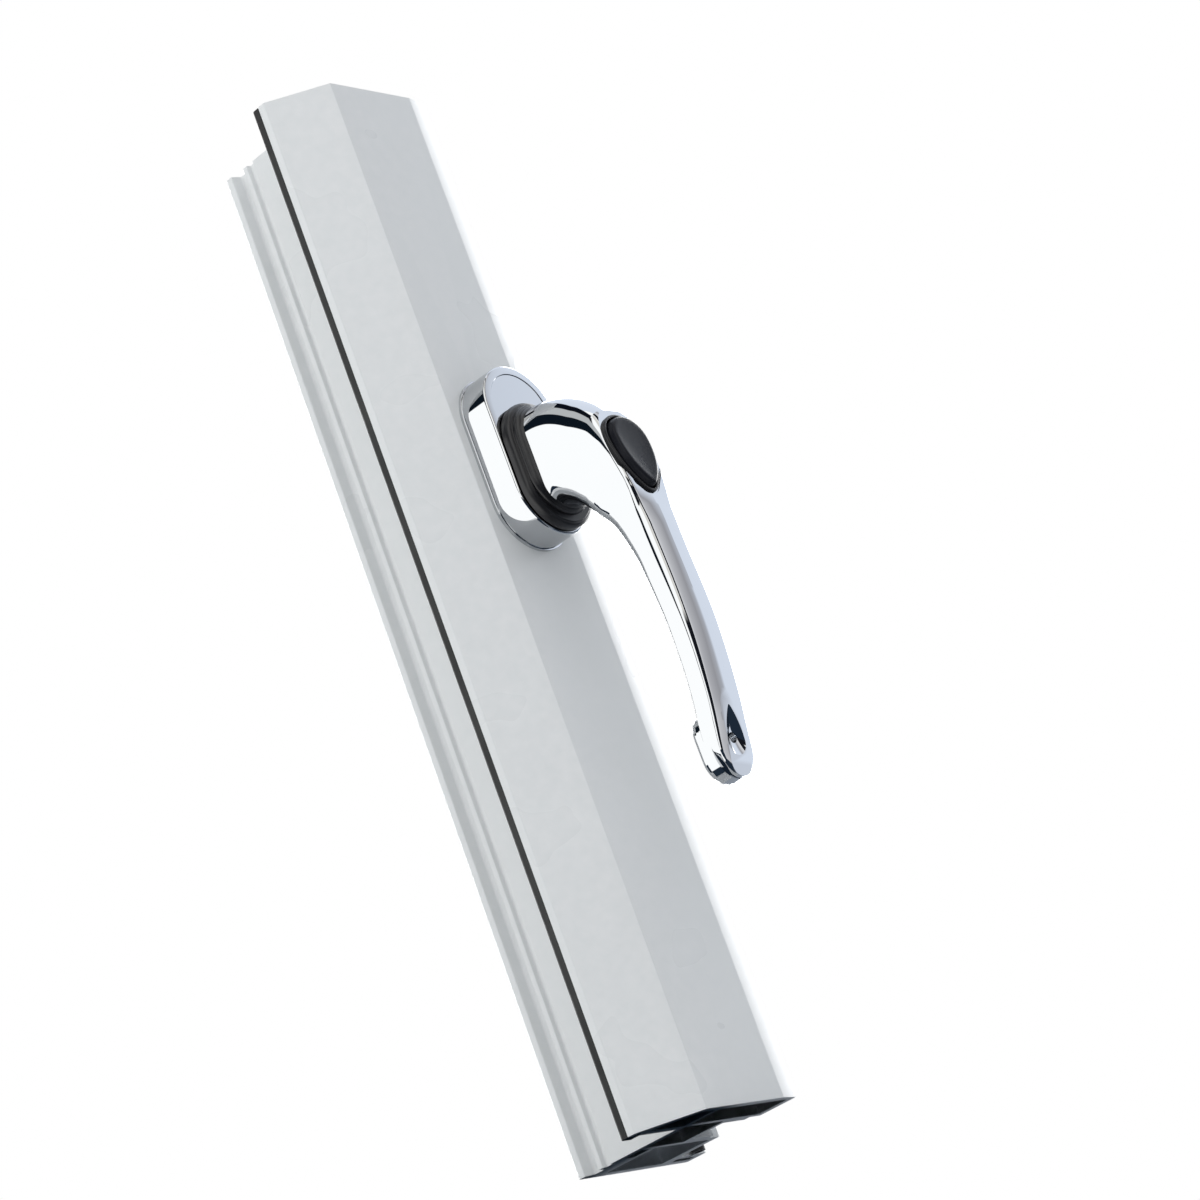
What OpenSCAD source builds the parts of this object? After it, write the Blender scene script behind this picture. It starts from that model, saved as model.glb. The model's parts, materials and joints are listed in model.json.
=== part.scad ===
// Cut length of an externally beaded casement sash stile, with a push-button lever handle
// and the espagnolette lock that the handle drives. It stands on its lower sawn end.
// Spindle coordinates are used inside the modules: x along the window's width, y into the sash
// from its room face, z along the stile from the spindle. placed() moves them to the part's frame.

/* [Sash] */
// Height of the spindle above the lower sawn end
spindle_height = 200; // [180:1:230]
// Length of the stile above the spindle
stile_above = 130; // [110:1:160]
// Depth of the sash from its room face to its outer face
sash_depth = 56; // [56:0.5:60]
// Flat of the room face from the spindle to the glazing side
flat_glass_side = 18.5; // [17.5:0.5:20]
// Flat of the room face from the spindle to the lock side
flat_lock_side = 16.2; // [15:0.1:18]
// Leg of the 45 degree bevel beside the glass
bevel_leg = 14.9; // [14:0.1:15.5]
// Thickness of the visible walls
outer_wall = 2.8; // [2.5:0.1:3]
// Thickness of the inner webs
web = 1.8; // [1.5:0.1:2]

/* [Handle] */
// Width of the handle's base
base_w = 30; // [29:0.5:31]
// Length of the handle's base
base_l = 56; // [56:0.5:62]
// Height of the handle's base
base_h = 10.4; // [10:0.1:11]
// Distance from the spindle to each fixing screw
screw_offset = 21.5; // [21.5:0.1:21.6]
// Half width of the lever's grip
grip_half_w = 7.5; // [7:0.1:8]
// Distance from the spindle to the end of the lever
lever_reach = 118.5; // [116:0.5:122]
// Stroke of the push button

/* [Lock] */
// Distance from the faceplate's face to the spindle
backset = 22; // [22:0.1:22.4]
// Side of the square spindle
spindle_side = 7; // [7:0.01:7.02]
// Number of teeth on a full pinion
teeth = 16; // [16:1:16]
// Travel of the drive bar for a quarter turn
bar_travel = 18; // [18:0.1:18.2]
// Radius of a locking roller
roller_r = 5; // [4.5:0.1:5.2]

/* [Hidden] */
$fn = 64;
eps = 0.01;

white = [0.93, 0.94, 0.93];
chrome = [0.80, 0.82, 0.85];
black = [0.06, 0.06, 0.07];
rubber = [0.10, 0.10, 0.10];
zinc = [0.66, 0.68, 0.70];
steel = [0.55, 0.57, 0.60];
nylon = [0.85, 0.84, 0.78];

// Sash cross-section
tip_x = -flat_glass_side - bevel_leg;       // outermost line of the glazing leg
lip_y = bevel_leg + 2.8;                    // back of the white lip, where the gasket starts
floor_x = tip_x + 20.7;                      // floor of the glazing rebate
edge_x = flat_lock_side + 7.7;              // lock edge of the sash
edge_y = 1.6;                               // drop of the shallow bevel at the lock edge
flange_x = edge_x + 12;                     // edge of the outer overlap
flange_y = sash_depth - 8;                  // room side of the outer overlap
groove_y = 24;                              // middle of the hardware groove
groove_half_w = 8.1;                        // half width of the faceplate's recess
channel_half_w = 6.15;                      // half width of the drive bar's channel
recess_x = backset - 3;                     // bottom of the faceplate's recess
channel_x = 9;                              // bottom of the drive bar's channel
chamber_x = floor_x + outer_wall;           // glass side of the inner chambers

// Handle heights, measured out from the room face
collar_base = base_h + 0.3;
collar_step = collar_base + 3.2;
neck_base = collar_step + 2.7;
collar_r = 14.2;
neck_r = 10.6;
tail = 13;                                  // how far the collar's lower arc sits below the spindle
button_z = -14.5;                           // centre of the push button's round end
button_r = 7.5;
button_tip_z = -28.8;                       // centre of the push button's pointed end
button_tip_r = 1.8;
bezel_top = 40;                             // height of the bezel at its upper edge
bezel_tilt = 7;                             // tilt of the bezel towards the lever
cap_proud = 2.9;
plunger_r = 2;
button_drop = button_tip_z - button_z;
bezel_at_button = bezel_top + (-3.5 - button_z) * tan(bezel_tilt);
// Furthest point from the room face, at the lower end of the push button
front = bezel_at_button + (cap_proud - 0.1) * cos(bezel_tilt)
    + (button_tip_r - 0.4 - button_drop) * sin(bezel_tilt);

// Lock
pitch_r = bar_travel / (PI / 2);
mod_mm = 2 * pitch_r / teeth;
case_half_l = 30;
hub_r = 6;
case_inner = 4.3;
case_outer = 5.9;
bar_x = 14.6;                               // inner face of the drive bar
bar_t = 2.4;
roller_zs = [78, -128];

x_mid = (tip_x + flange_x) / 2;
y_mid = (sash_depth - front) / 2;

module placed() translate([-x_mid, -y_mid, spindle_height]) children();
// Draws children, modelled up +Z, so that up points out of the room face
module outwards(h = 0) translate([0, -h, 0]) rotate([90, 0, 0]) children();
// An upright prism of the sash section over the stile's whole length
module along_stile(z0 = -spindle_height, z1 = stile_above)
    translate([0, 0, z0]) linear_extrude(z1 - z0) children();

function bezier(a, b, c, d, n = 10) = [for (i = [0:n]) let (t = i / n, s = 1 - t)
    s * s * s * a + 3 * s * s * t * b + 3 * s * t * t * c + t * t * t * d];
function arc(cx, cy, r, a0, a1, n = 12) = [for (i = [0:n]) let (a = a0 + (a1 - a0) * i / n)
    [cx + r * cos(a), cy + r * sin(a)]];
// Egg outline: a round end at ya, a smaller round end at yb below it, joined by tangents
function egg(ya, ra, yb, rb) = let (t = asin((ra - rb) / (ya - yb)))
    concat(arc(0, ya, ra, -t, 180 + t, 24), arc(0, yb, rb, 180 + t, 360 - t, 10));
function obround(r, ya, yb) = egg(ya, r, yb, r);

// ---- Sash ----
module leg_and_face() {
    polygon(concat([[edge_x, sash_depth], [edge_x, edge_y], [flat_lock_side, 0],
        [-flat_glass_side, 0], [tip_x, bevel_leg], [tip_x, lip_y], [floor_x, lip_y]],
        // narrow groove, ridge and bead groove beyond the rebate's floor
        [[floor_x, sash_depth - 12.2], [floor_x + 1.4, sash_depth - 11.8],
         [floor_x + 1.4, sash_depth - 9.8], [floor_x, sash_depth - 9.4], [floor_x, sash_depth - 7.6],
         [floor_x + 3, sash_depth - 7], [floor_x + 3, sash_depth - 3.6],
         [floor_x - 0.6, sash_depth - 2.6], [floor_x - 0.6, sash_depth]]));
}
module sash_section() {
    difference() {
        union() {
            leg_and_face();
            translate([edge_x - 1, flange_y]) square([flange_x - edge_x + 1, sash_depth - flange_y]);
        }
        // hardware groove
        translate([recess_x, groove_y - groove_half_w]) square([flange_x, 2 * groove_half_w]);
        translate([channel_x, groove_y - channel_half_w]) square([recess_x, 2 * channel_half_w]);
        // chambers
        translate([chamber_x, outer_wall])
            square([edge_x - outer_wall - chamber_x, groove_y - groove_half_w - web - outer_wall]);
        translate([chamber_x, groove_y - groove_half_w])
            square([channel_x - web - chamber_x, 2 * groove_half_w]);
        translate([chamber_x + 6, groove_y + groove_half_w + web])
            square([edge_x - outer_wall - chamber_x - 6,
                sash_depth - outer_wall - groove_y - groove_half_w - web]);
        translate([chamber_x, groove_y + groove_half_w + web]) square([6 - web, 6.5]);
        polygon([[floor_x + 1, outer_wall], [1.2 - flat_glass_side, outer_wall],
            [tip_x + 6.9, lip_y - outer_wall - 2], [tip_x + 6.9, lip_y - outer_wall],
            [floor_x + 1, lip_y - outer_wall]]);
        translate([edge_x + 1.5, flange_y + outer_wall]) square([8, 2.4]);
        // grooves for the seals
        translate([tip_x + 2.6, lip_y - 2]) square([1.4, 3]);
        translate([edge_x + 5.3, flange_y - 1]) square([1.4, 3]);
    }
}
module sash_profile() color(white) placed() difference() {
    along_stile() sash_section();
    // pocket for the gearbox
    translate([-10.5, groove_y - channel_half_w, -case_half_l - 0.4])
        cube([20, 2 * channel_half_w, 2 * case_half_l + 0.8]);
    // spindle and fixing screw holes
    outwards(-groove_y) cylinder(r = 6.5, h = groove_y + 1);
    for (z = [-screw_offset, screw_offset])
        translate([0, 0, z]) outwards(-groove_y) cylinder(r = 4.2, h = groove_y + 1);
    reinforcement_holes(1.75);
    faceplate_screw_holes(1.6, recess_x - 9);
}
module reinforcement_holes(r) for (z = [stile_above - 35, -70, 30 - spindle_height])
    translate([6, sash_depth + 1, z]) rotate([90, 0, 0]) cylinder(r = r, h = 8);
module faceplate_screw_holes(r, x0) for (z = [stile_above - 15, -55, 20 - spindle_height])
    translate([x0, groove_y, z]) rotate([0, 90, 0]) cylinder(r = r, h = backset - x0 + 1);

steel_x = chamber_x + 6.3;
steel_y = groove_y + groove_half_w + web + 0.3;
steel_w = edge_x - outer_wall - 0.3 - steel_x;
steel_d = sash_depth - outer_wall - 0.3 - steel_y;
module steel_reinforcement() color(zinc) placed() difference() {
    along_stile(5 - spindle_height, stile_above - 5) difference() {
        translate([steel_x, steel_y]) square([steel_w, steel_d]);
        translate([steel_x + 1.5, steel_y + 1.5]) square([steel_w - 3, steel_d - 3]);
        translate([steel_x + 7, steel_y - 1]) square([steel_w - 14, 3]);
    }
    reinforcement_holes(1.75);
}
module reinforcement_screws() color(zinc) placed()
    for (z = [stile_above - 35, -70, 30 - spindle_height])
        translate([6, sash_depth, z]) rotate([90, 0, 0]) {
            translate([0, 0, 0.2]) cylinder(r = 1.7, h = 6);
            cylinder(r1 = 1.75, r2 = 1.7, h = 0.2);
        }
module glazing_gasket() color(rubber) placed() along_stile() {
    polygon(concat([[tip_x + 5, lip_y + 0.02], [tip_x + 5, lip_y + 2.4]],
        arc(tip_x + 1.35, lip_y + 1.2, 1.2, 90, 180, 8), [[tip_x + 0.15, lip_y + 0.02]]));
    translate([tip_x + 2.7, lip_y - 1.7]) square([1.2, 1.8]);
}
module weather_seal() color(rubber) placed() along_stile() {
    translate([edge_x + 6, flange_y - 2.1]) difference() {
        circle(r = 2.1);
        circle(r = 1.3);
    }
    translate([edge_x + 5.4, flange_y - 0.35]) square([1.2, 2]);
}

// ---- Lock ----
module faceplate() color(zinc) placed() difference() {
    translate([recess_x + 0.05, groove_y - 8, 4 - spindle_height])
        cube([backset - recess_x - 0.05, 16, spindle_height + stile_above - 8]);
    faceplate_screw_holes(2.1, recess_x - 1);
    for (z = roller_zs)
        translate([recess_x - 1, 0, 0]) rotate([0, 90, 0]) linear_extrude(6)
            polygon([for (p = obround(3.4, z + 1.5, z - bar_travel - 1.5)) [-p[1], groove_y + p[0]]]);
}
module faceplate_screws() color(zinc) placed()
    for (z = [stile_above - 15, -55, 20 - spindle_height]) translate([0, groove_y, z]) {
        translate([recess_x - 8, 0, 0]) rotate([0, 90, 0]) cylinder(r = 1.58, h = backset - recess_x + 9);
        translate([backset, 0, 0]) rotate([0, 90, 0]) cylinder(r1 = 3.6, r2 = 2.6, h = 1.3);
    }
// One half of the gearbox case, open towards the rack
module case_shell() difference() {
    linear_extrude(case_outer) translate([-9.5, -case_half_l]) square([18.4, 2 * case_half_l]);
    translate([-7.5, -13.5, -1]) cube([20, 27, case_inner + 1]);
    translate([0, 0, -1]) cylinder(r = hub_r + 0.05, h = case_outer + 2);
    for (z = [-screw_offset, screw_offset]) translate([0, z, -1]) cylinder(r = 2.52, h = 12);
    for (p = rivet_points) translate([p[0], p[1], -1]) cylinder(r = 1.22, h = 12);
}
// Case halves are split on the groove's middle plane; each is modelled with its outside up
module gearbox_case_room() color(zinc) placed() translate([0, groove_y, 0]) outwards() case_shell();
module gearbox_case_outer() color(zinc) placed() translate([0, groove_y, 0])
    mirror([0, 1, 0]) outwards() case_shell();
rivet_points = [for (x = [-7, 6], z = [-26.5, 26.5]) [x, z]];
module gearbox_rivets() color(steel) placed() for (p = rivet_points)
    translate([p[0], groove_y, p[1]]) rotate([90, 0, 0]) cylinder(r = 1.2, h = 2 * case_outer, center = true);

// Involute flank: half the tooth's angle at radius r
tooth_backlash = 0.5;
pressure = 20;
base_r = pitch_r * cos(pressure);
function inv_deg(r) = let (c = min(1, base_r / r), a = acos(c)) tan(a) * 180 / PI - a;
function half_tooth(r) = 90 / teeth - tooth_backlash + inv_deg(pitch_r) - inv_deg(max(r, base_r));
root_r = pitch_r - 1.2 * mod_mm;
tip_r = pitch_r + 0.85 * mod_mm;
function flank(sign) = [for (i = [0:6]) let (r = root_r - 0.3 + (tip_r - root_r + 0.3) * i / 6)
    [r * cos(sign * half_tooth(r)), r * sin(sign * half_tooth(r))]];
module tooth() polygon(concat(flank(-1), [for (i = [6:-1:0]) flank(1)[i]]));
module gear_pinion() color(steel) placed() translate([0, groove_y, 0]) rotate([90, 0, 0])
    difference() {
        union() {
            translate([0, 0, 0.15 - case_inner]) linear_extrude(2 * case_inner - 0.3) pinion_sector();
            cylinder(r = hub_r, h = 2 * case_outer, center = true);
        }
        cube([spindle_side + 0.1, spindle_side + 0.1, 20], center = true);
    }
module pinion_sector() {
    circle(r = 7.4);
    polygon(concat([[0, 0]], arc(0, 0, root_r, -22, 112, 16)));
    for (i = [-1:5]) rotate(i * 360 / teeth) tooth();
}
rack_pitch = PI * mod_mm;
rack_tip = pitch_r - 0.85 * mod_mm;
rack_root = pitch_r + 1.2 * mod_mm;
module rack_tooth() {
    half = rack_pitch / 4 - 0.1;
    lean = tan(pressure);
    polygon([[rack_root + 0.5, half + lean * (rack_root + 0.5 - pitch_r)],
        [rack_tip, half - lean * (pitch_r - rack_tip)],
        [rack_tip, -half + lean * (pitch_r - rack_tip)],
        [rack_root + 0.5, -half - lean * (rack_root + 0.5 - pitch_r)]]);
}
module drive_rack() color(steel) placed() translate([0, groove_y, 0]) rotate([90, 0, 0])
    linear_extrude(2 * case_inner - 0.4, center = true) {
        for (i = [-1:5]) translate([0, rack_pitch * (i + 0.5)]) rack_tooth();
        translate([rack_root, -rack_pitch]) square([bar_x - rack_root - 0.02, rack_pitch * 7]);
    }
module drive_bar() color(zinc) placed() difference() {
    translate([bar_x, groove_y - 5.9, 24 - spindle_height])
        cube([bar_t, 11.8, spindle_height + stile_above - 34]);
    faceplate_bar_slots();
    for (z = roller_zs) translate([bar_x - 1, groove_y, z]) rotate([0, 90, 0]) cylinder(r = 2.02, h = 9);
}
module faceplate_bar_slots() for (z = [stile_above - 15, -55, 20 - spindle_height])
    translate([bar_x - 1, 0, 0]) rotate([0, 90, 0]) linear_extrude(9)
        polygon([for (p = obround(2.1, z + bar_travel + 1, z - 1)) [-p[1], groove_y + p[0]]]);
module roller_pins() color(steel) placed() for (z = roller_zs)
    translate([bar_x, groove_y, z]) rotate([0, 90, 0]) {
        cylinder(r = 2, h = backset - bar_x + 9.4);
        translate([0, 0, bar_t]) cylinder(r = 3.1, h = backset + 0.5 - bar_x - bar_t);
        translate([0, 0, backset + 8.6 - bar_x]) cylinder(r1 = 3.2, r2 = 2.6, h = 0.9);
    }
module roller(z) color(zinc) placed() translate([backset + 0.6, groove_y, z]) rotate([0, 90, 0])
    difference() {
        cylinder(r = roller_r, h = 7.9);
        translate([0, 0, -1]) cylinder(r = 2.06, h = 12);
    }
module roller_upper() roller(roller_zs[0]);
module roller_lower() roller(roller_zs[1]);

// ---- Handle ----
base_arc = (base_l - base_w) / 2;
module base_outline(grow) polygon(obround(base_w / 2 + grow, base_arc, -base_arc));
module base_body() color(chrome) placed() outwards() difference() {
    union() {
        linear_extrude(4) base_outline(0.4);
        translate([0, 0, 4]) linear_extrude(base_h - 4.7) base_outline(0.1);
        translate([0, 0, base_h - 0.7]) linear_extrude(0.7) base_outline(-0.4);
    }
    // hollow behind the face, with the screw bosses and the spindle boss left standing
    translate([0, 0, -1]) linear_extrude(8) difference() {
        base_outline(-2.2);
        circle(r = 12.5);
        for (z = [-screw_offset, screw_offset]) translate([0, z]) circle(r = 5);
    }
    translate([0, 0, base_h - 1.5]) linear_extrude(2) polygon(cover_outline(0.05));
    translate([0, 0, -1]) cylinder(r = 9.6, h = 20);
    translate([0, 0, -eps]) cylinder(r = 11.2, h = 3.2);
    for (z = [-screw_offset, screw_offset]) translate([0, z, -1]) {
        cylinder(r = 2.7, h = 12);
        translate([0, 0, base_h - 2.8]) cylinder(r1 = 2.7, r2 = 4.6, h = 2.2);
    }
}
function cover_outline(grow) = obround(base_w / 2 - 3 + grow, base_arc, -base_arc);
module screw_cover() color(chrome) placed() outwards(base_h - 1.45) difference() {
    linear_extrude(1.45) polygon(cover_outline(0));
    translate([0, 0, -1]) cylinder(r = 9.6, h = 4);
}
module bearing_bush() color(nylon) placed() outwards(3.25) difference() {
    cylinder(r = 9.55, h = base_h - 3.3);
    translate([0, 0, -1]) cylinder(r = 8.05, h = 20);
}
module wave_washer() color(steel) placed() outwards(2.55) difference() {
    cylinder(r = 10.6, h = 0.55);
    translate([0, 0, -1]) cylinder(r = 8.2, h = 3);
}
module retaining_ring() color(steel) placed() outwards(1.65) difference() {
    cylinder(r = 10.2, h = 0.8);
    translate([0, 0, -1]) cylinder(r = 7.25, h = 3);
}
module fixing_screws() color(steel) placed() for (z = [-screw_offset, screw_offset])
    translate([0, 0, z]) outwards(-groove_y - 3) difference() {
        union() {
            cylinder(r = 2.5, h = groove_y + 3 + base_h - 3.8);
            translate([0, 0, groove_y + 3 + base_h - 3.8]) cylinder(r1 = 2.5, r2 = 4.4, h = 2.2);
        }
        translate([0, 0, groove_y + 3 + base_h - 3]) cube([1.2, 6, 3], center = true);
        translate([0, 0, groove_y + 3 + base_h - 3]) cube([6, 1.2, 3], center = true);
    }
module collar_flange() color(black) placed() outwards(collar_base) difference() {
    union() {
        linear_extrude(2.2) polygon(obround(collar_r, 0, -tail));
        translate([0, 0, 2.2]) linear_extrude(1) polygon(obround(collar_r - 0.7, 0, -tail));
    }
    translate([0, 0, -1]) cylinder(r = 8.02, h = 6);
    translate([-5, button_z - 5, -1]) cube([10, 10, 2.8]);
    translate([0, button_z, -1]) cylinder(r = plunger_r + 0.3, h = 6);
}
module collar_ring() color(black) placed() outwards(collar_step) difference() {
    union() {
        linear_extrude(0.8) polygon(obround(neck_r + 1.2, 0, 2 - tail));
        translate([0, 0, 0.8]) linear_extrude(1.9) polygon(obround(neck_r + 1.9, 0, 2 - tail));
    }
    translate([0, 0, -1]) cylinder(r = 8.02, h = 6);
    translate([0, button_z, -1]) cylinder(r = plunger_r + 0.3, h = 6);
}
// Side view of the lever: height above the room face against distance along the stile
tip_z = -lever_reach;
bezel_low_z = -34;
bezel_low = bezel_top + (-3.5 - bezel_low_z) * tan(bezel_tilt);
side_outline = concat(
    [[neck_base, neck_r]],
    bezier([neck_base + 2, neck_r], [28, 10], [36, 3.5], [bezel_top, -3.5]),
    bezier([bezel_low, bezel_low_z], [bezel_low + 0.8, -48], [45.2, -80], [39.6, tip_z + 5.5], 12),
    [[38.4, tip_z + 2], [35.6, tip_z], [33.4, tip_z + 1.5]],
    bezier([31.2, tip_z + 6.5], [35.6, -92], [39.8, -55], [33.6, -40], 12),
    bezier([32, -36], [28, -26], [25, -20], [neck_base, -11 - neck_r], 8));
half_view = concat(
    arc(0, 0, neck_r, 90, 0, 8), arc(0, button_z - 0.3, neck_r + 0.2, 0, -20, 4),
    bezier([9.6, -22], [8.4, -30], [grip_half_w + 0.3, -36], [grip_half_w, -50], 8),
    [[grip_half_w, tip_z + 9]],
    bezier([grip_half_w, tip_z + 5], [grip_half_w - 0.4, tip_z + 1.4], [4, tip_z], [0, tip_z], 8));
module lever() color(chrome) placed() difference() {
    union() {
        intersection() {
            rotate([90, 0, 90]) linear_extrude(40, center = true)
                polygon([for (p = side_outline) [-p[0], p[1]]]);
            outwards() linear_extrude(60) polygon(concat(half_view,
                [for (i = [len(half_view) - 2:-1:1]) [-half_view[i][0], half_view[i][1]]]));
        }
        outwards(2.45) cylinder(r = 8, h = neck_base - 2.4);
        outwards(0.9) cylinder(r = 7.2, h = 3);
    }
    // seat of the push button on the tilted bezel, and the plunger's well
    button_frame() translate([0, 0, -5]) linear_extrude(20)
        polygon(egg(0, button_r + 1.6, button_drop, button_tip_r + 1.3));
    translate([0, 0, button_z]) outwards(bezel_at_button - 12) cylinder(r = 4, h = 10);
    translate([0, 0, button_z]) outwards(1) cylinder(r = plunger_r + 0.1, h = 40);
    translate([0, -13, 0]) cube([spindle_side + 0.04, 26, spindle_side + 0.04], center = true);
    // grub screw on the side away from the glass
    translate([0, -20, 0]) rotate([0, 90, 0]) cylinder(r = 2.02, h = 20);
    // countersunk hole near the end
    translate([0, 0, hole_z]) outwards(20) cylinder(r = 1.6, h = 40);
    translate([0, 0, hole_z]) outwards(39.2) cylinder(r1 = 1.6, r2 = 6.1, h = 5);
}
hole_z = -107;
// Frame at the button's centre on the bezel, with up square to the bezel
module button_frame() translate([0, -bezel_at_button, button_z])
    rotate([90 - bezel_tilt, 0, 0]) children();
module spindle() color(steel) placed() translate([0, -25.9, 0])
    translate([-spindle_side / 2, 0, -spindle_side / 2]) cube([spindle_side, 57, spindle_side]);
module spindle_grub_screw() color(steel) placed() translate([spindle_side / 2 + 0.02, -20, 0])
    rotate([0, 90, 0]) difference() {
        cylinder(r = 2, h = 5.4);
        translate([0, 0, 3.4]) cylinder(r = 1.15, h = 3, $fn = 6);
    }
module button_housing() color(black) placed() button_frame() difference() {
    translate([0, 0, -4.95]) linear_extrude(6)
        polygon(egg(0, button_r + 1.55, button_drop, button_tip_r + 1.25));
    translate([0, 0, -2.6]) linear_extrude(10)
        polygon(egg(0, button_r + 0.55, button_drop, button_tip_r + 0.55));
    translate([0, 0, -10]) cylinder(r = plunger_r + 1.2, h = 20);
}
module push_button() color(black) placed() button_frame() {
    translate([0, 0, 0.2]) linear_extrude(cap_proud - 0.9)
        polygon(egg(0, button_r, button_drop, button_tip_r));
    translate([0, 0, cap_proud - 0.7]) linear_extrude(0.6)
        polygon(egg(0, button_r - 0.5, button_drop, button_tip_r - 0.4));
    translate([0, 0, -0.4]) cylinder(r = 4.4, h = 0.8);
}
module lock_plunger() color(steel) placed() translate([0, 0, button_z]) outwards() {
    translate([0, 0, collar_base + 2.3]) cylinder(r1 = 1.2, r2 = plunger_r, h = 1.5);
    translate([0, 0, collar_base + 3.8]) cylinder(r = plunger_r, h = bezel_at_button - collar_base - 4.6);
    translate([0, 0, bezel_at_button - 6.6]) cylinder(r = 3.3, h = 0.9);
}
// Plate in the foot of the collar that the plunger's cone releases
module lock_latch() color(steel) placed() translate([0, 0, button_z]) outwards(collar_base + 0.1)
    difference() {
        translate([-4.8, -4.8, 0]) cube([9.6, 9.6, 1.5]);
        translate([0, 0, -1]) cylinder(r = plunger_r + 0.3, h = 4);
    }
module button_spring() color(steel) placed() translate([0, 0, button_z])
    outwards(bezel_at_button - 11.9) difference() {
        cylinder(r = 3.4, h = 5.2);
        translate([0, 0, -1]) cylinder(r = 2.4, h = 8);
    }

sash_profile();
steel_reinforcement();
reinforcement_screws();
glazing_gasket();
weather_seal();
faceplate();
faceplate_screws();
gearbox_case_room();
gearbox_case_outer();
gearbox_rivets();
gear_pinion();
drive_rack();
drive_bar();
roller_pins();
roller_upper();
roller_lower();
base_body();
screw_cover();
lock_latch();
bearing_bush();
wave_washer();
retaining_ring();
fixing_screws();
collar_flange();
collar_ring();
lever();
spindle();
spindle_grub_screw();
button_housing();
push_button();
lock_plunger();
button_spring();
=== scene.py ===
import json
import math
from functools import partial

import bmesh
import bpy
from mathutils import Matrix, Quaternion, Vector


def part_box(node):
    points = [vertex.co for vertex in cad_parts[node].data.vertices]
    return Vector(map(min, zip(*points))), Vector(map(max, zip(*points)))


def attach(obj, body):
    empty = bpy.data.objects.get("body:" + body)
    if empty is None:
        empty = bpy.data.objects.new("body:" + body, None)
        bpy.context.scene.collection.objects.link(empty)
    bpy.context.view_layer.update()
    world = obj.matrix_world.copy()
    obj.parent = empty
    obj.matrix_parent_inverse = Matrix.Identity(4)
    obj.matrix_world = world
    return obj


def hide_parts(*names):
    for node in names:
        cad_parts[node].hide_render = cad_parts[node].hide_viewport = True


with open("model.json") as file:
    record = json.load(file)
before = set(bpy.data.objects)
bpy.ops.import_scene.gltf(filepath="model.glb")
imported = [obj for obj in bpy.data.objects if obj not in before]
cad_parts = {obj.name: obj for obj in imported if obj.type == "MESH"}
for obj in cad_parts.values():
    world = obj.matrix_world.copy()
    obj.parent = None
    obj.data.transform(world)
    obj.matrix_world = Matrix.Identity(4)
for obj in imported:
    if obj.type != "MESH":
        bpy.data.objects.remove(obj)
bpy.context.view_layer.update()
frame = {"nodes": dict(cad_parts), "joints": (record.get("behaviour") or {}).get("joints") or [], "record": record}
print("frame loaded with", len(frame["nodes"]), "nodes")

scene = bpy.context.scene
scene.view_settings.view_transform = "Standard"

# Every piece is drawn in millimetres from the spindle where it leaves the room face:
# x across the stile towards the lock, y into the sash, z up the stile.
millimetre = 0.001
joints = {joint["name"]: joint for joint in frame["joints"]}
spindle = Vector(joints["lever_turn"]["pos_m"])
stileFrame = Matrix.Translation(spindle) @ Matrix.Scale(millimetre, 4)
outFrame = stileFrame @ Matrix.Rotation(math.radians(90), 4, "X")  # local z leaves the room face
lockFrame = stileFrame @ Matrix.Rotation(math.radians(90), 4, "Y")  # local z points at the frame
backFrame = stileFrame @ Matrix.Rotation(math.radians(-90), 4, "X")  # local z goes into the sash


def span(node):
    low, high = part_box(node)
    return (low - spindle) / millimetre, (high - spindle) / millimetre


# the stile's box, and places that several pieces share
sashLow, sashHigh = span("sash_profile")
tipX, flangeX, sashDepth = sashLow.x, sashHigh.x, sashHigh.y
screwOffset = 21.5  # the fixing screws, above and below the spindle
buttonZ = -14.5  # the button's round end, with the plunger in line behind it


def linkPiece(name, mesh):
    piece = bpy.data.objects.new(name, mesh)
    scene.collection.objects.link(piece)
    return piece


def shade(piece, sharp):
    mesh = piece.data
    work = bmesh.new()
    work.from_mesh(mesh)
    bmesh.ops.remove_doubles(work, verts=work.verts, dist=1e-6)
    bmesh.ops.dissolve_degenerate(work, dist=1e-7, edges=work.edges)
    bmesh.ops.recalc_face_normals(work, faces=work.faces)
    work.to_mesh(mesh)
    work.free()
    mesh.polygons.foreach_set("use_smooth", [True] * len(mesh.polygons))
    mesh.set_sharp_from_angle(angle=math.radians(sharp))


def corners(low, high):
    return [(low[0], low[1]), (high[0], low[1]), (high[0], high[1]), (low[0], high[1])]


def solid(name, points, faces, matrix=stileFrame, sharp=25):
    mesh = bpy.data.meshes.new(name)
    mesh.from_pydata([matrix @ Vector(point) for point in points], [], faces)
    piece = linkPiece(name, mesh)
    shade(piece, sharp)
    return piece


def loft(name, rings, matrix=stileFrame, sharp=25, closed=False):
    # rings of equal length; the ends are capped, or the last ring joins the first
    count = len(rings[0])
    points = [point for ring in rings for point in ring]
    faces = []
    last = len(rings) if closed else len(rings) - 1
    for i in range(last):
        a = i * count
        b = (i + 1) % len(rings) * count
        faces += [(a + k, a + (k + 1) % count, b + (k + 1) % count, b + k) for k in range(count)]
    if not closed:
        faces.append(tuple(range(count)))
        faces.append(tuple(range(len(points) - count, len(points))))
    return solid(name, points, faces, matrix, sharp)


def turned(name, profile, matrix=outFrame, steps=64, sharp=25, closed=False, centre=(0, 0)):
    # profile of (radius, height) turned about the frame's z axis
    turns = [2 * math.pi * k / steps for k in range(steps)]
    rings = [[(centre[0] + r * math.cos(t), centre[1] + r * math.sin(t), h) for t in turns]
             for r, h in profile]
    return loft(name, rings, matrix, sharp, closed)


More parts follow.
